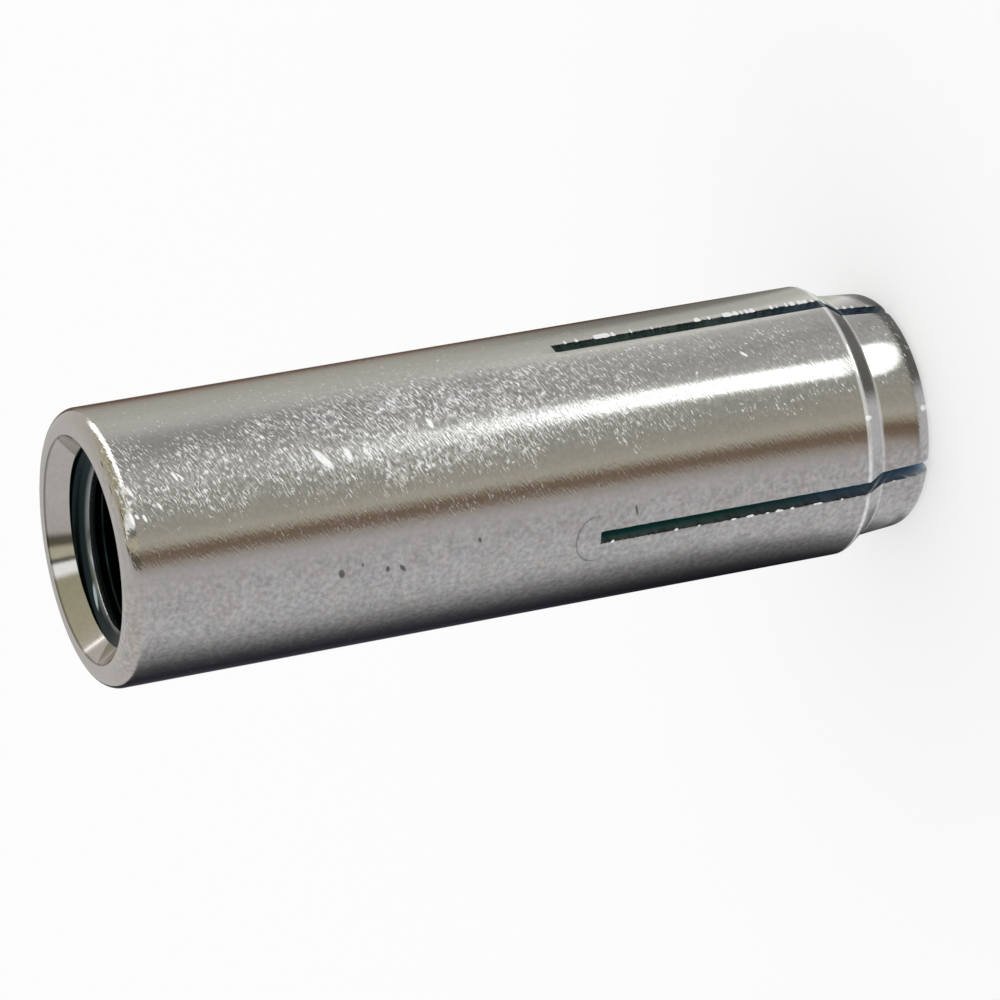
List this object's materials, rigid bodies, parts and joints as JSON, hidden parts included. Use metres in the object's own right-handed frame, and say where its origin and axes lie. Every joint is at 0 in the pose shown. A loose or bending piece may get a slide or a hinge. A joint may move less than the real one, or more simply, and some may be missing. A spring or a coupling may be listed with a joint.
{
  "type": "drop-in anchor",
  "caption": "Slotted steel drop-in expansion anchor with an internally threaded, countersunk mouth, a stepped nose and a loose tapered plug that spreads the nose.",
  "frame": {"origin": "centre of the nose face, on the anchor's axis", "axes": "+Z runs along the axis from the nose to the threaded mouth; +X and +Y each run through the middle of a slot"},
  "size_m": [0.016, 0.016, 0.05],
  "materials": {
    "bright_zinc": "bright zinc plating, tumbled, with fine scratches",
    "plug_steel": "satin turned steel"
  },
  "bodies": {
    "sleeve": {"anchor_sleeve": "bright_zinc"},
    "plug": {"expander_plug": "plug_steel"}
  },
  "joints": [
    {"name": "plug_drive", "type": "slide", "parent": "sleeve", "child": "plug", "axis": [0, 0, -1], "range_m": [0, 0.003]}
  ]
}
